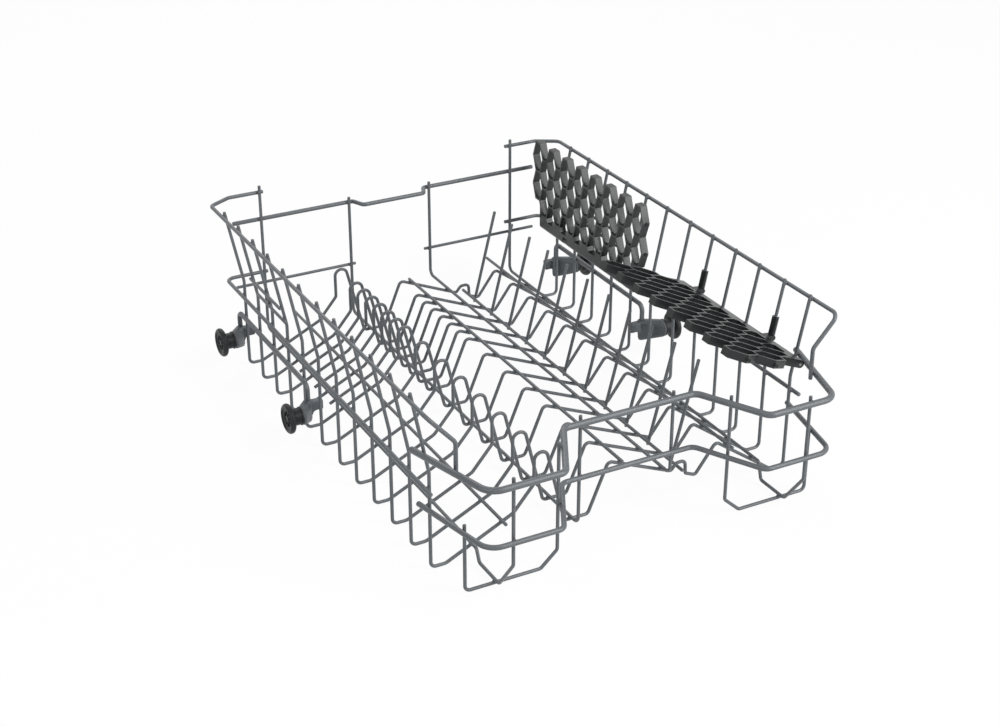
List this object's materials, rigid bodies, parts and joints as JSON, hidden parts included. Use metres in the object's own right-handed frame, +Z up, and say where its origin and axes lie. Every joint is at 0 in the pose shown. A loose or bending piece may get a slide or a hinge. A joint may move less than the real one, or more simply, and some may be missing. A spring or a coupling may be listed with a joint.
{
  "type": "dishwasher upper basket",
  "caption": "Upper basket of a slimline dishwasher: coated wire basket on flanged side rollers, with hinged cup shelves and a fold-down row of plate tines.",
  "frame": {"origin": "under the middle of the basket, on the plane that its lowest wires stand on", "axes": "+X to the right seen from the front, +Y to the back along the pull-out direction, +Z up"},
  "size_m": [0.383, 0.496, 0.1565],
  "materials": {
    "coated_wire": "satin grey nylon coating over steel wire",
    "grey_plastic": "moulded, satin",
    "roller_plastic": "moulded, satin",
    "shelf_plastic": "moulded, satin",
    "rod_steel": "drawn"
  },
  "bodies": {
    "basket": {"cross_wire_01": "coated_wire", "cross_wire_02": "coated_wire", "cross_wire_03": "coated_wire", "cross_wire_04": "coated_wire", "cross_wire_05": "coated_wire", "cross_wire_06": "coated_wire", "cross_wire_07": "coated_wire", "cross_wire_08": "coated_wire", "cross_wire_09": "coated_wire", "cross_wire_10": "coated_wire", "cross_wire_11": "coated_wire", "cross_wire_12": "coated_wire", "short_cross_wire_1": "coated_wire", "short_cross_wire_2": "coated_wire", "short_cross_wire_3": "coated_wire", "foot_rail_left": "coated_wire", "foot_rail_right": "coated_wire", "inner_rail_left": "coated_wire", "inner_rail_right": "coated_wire", "floor_rail_left": "coated_wire", "floor_rail_right": "coated_wire", "side_rim_left": "coated_wire", "side_rim_right": "coated_wire", "side_rail_left": "coated_wire", "side_rail_right": "coated_wire", "foot_loop_left": "coated_wire", "foot_loop_right": "coated_wire", "back_wire_left": "coated_wire", "back_wire_right": "coated_wire", "clip_rails_left": "coated_wire", "clip_rails_right": "coated_wire", "roller_carrier_left": "coated_wire", "roller_carrier_right": "coated_wire", "centre_rail": "coated_wire", "front_rim_upper": "coated_wire", "front_rim_lower": "coated_wire", "back_rail": "coated_wire", "roller_bracket_left_rear": "grey_plastic", "roller_bracket_left_front": "grey_plastic", "roller_bracket_right_rear": "grey_plastic", "roller_bracket_right_front": "grey_plastic", "shelf_rod_rear": "rod_steel", "shelf_rod_front": "rod_steel", "shelf_clips_rear": "shelf_plastic", "shelf_clips_front": "shelf_plastic"},
    "roller_left_rear": {"roller_left_rear": "roller_plastic"},
    "roller_left_front": {"roller_left_front": "roller_plastic"},
    "roller_right_rear": {"roller_right_rear": "roller_plastic"},
    "roller_right_front": {"roller_right_front": "roller_plastic"},
    "rear_shelf": {"cup_shelf_rear": "shelf_plastic"},
    "front_shelf": {"cup_shelf_front": "shelf_plastic"},
    "tine_row": {"tine_rail": "coated_wire", "tines": "coated_wire"}
  },
  "joints": [
    {"name": "roller_left_rear_spin", "type": "hinge", "parent": "basket", "child": "roller_left_rear", "pos_m": [-0.184, 0.1992, 0.032], "axis": [1, 0, 0], "continuous": true},
    {"name": "roller_left_front_spin", "type": "hinge", "parent": "basket", "child": "roller_left_front", "pos_m": [-0.184, 0.0392, 0.032], "axis": [1, 0, 0], "continuous": true},
    {"name": "roller_right_rear_spin", "type": "hinge", "parent": "basket", "child": "roller_right_rear", "pos_m": [0.184, 0.1992, 0.032], "axis": [1, 0, 0], "continuous": true},
    {"name": "roller_right_front_spin", "type": "hinge", "parent": "basket", "child": "roller_right_front", "pos_m": [0.184, 0.0392, 0.032], "axis": [1, 0, 0], "continuous": true},
    {"name": "rear_shelf_fold", "type": "hinge", "parent": "basket", "child": "rear_shelf", "pos_m": [0.1535, 0.1357, 0.0716], "axis": [0, -1, 0], "range_deg": [0, 55]},
    {"name": "front_shelf_raise", "type": "hinge", "parent": "basket", "child": "front_shelf", "pos_m": [0.15731, -0.1044, 0.1035], "axis": [0, 1, 0], "range_deg": [0, 67]},
    {"name": "tine_row_fold", "type": "hinge", "parent": "basket", "child": "tine_row", "pos_m": [0.0595, 0.0167, 0.02592], "axis": [0, -1, 0], "range_deg": [0, 80]}
  ]
}
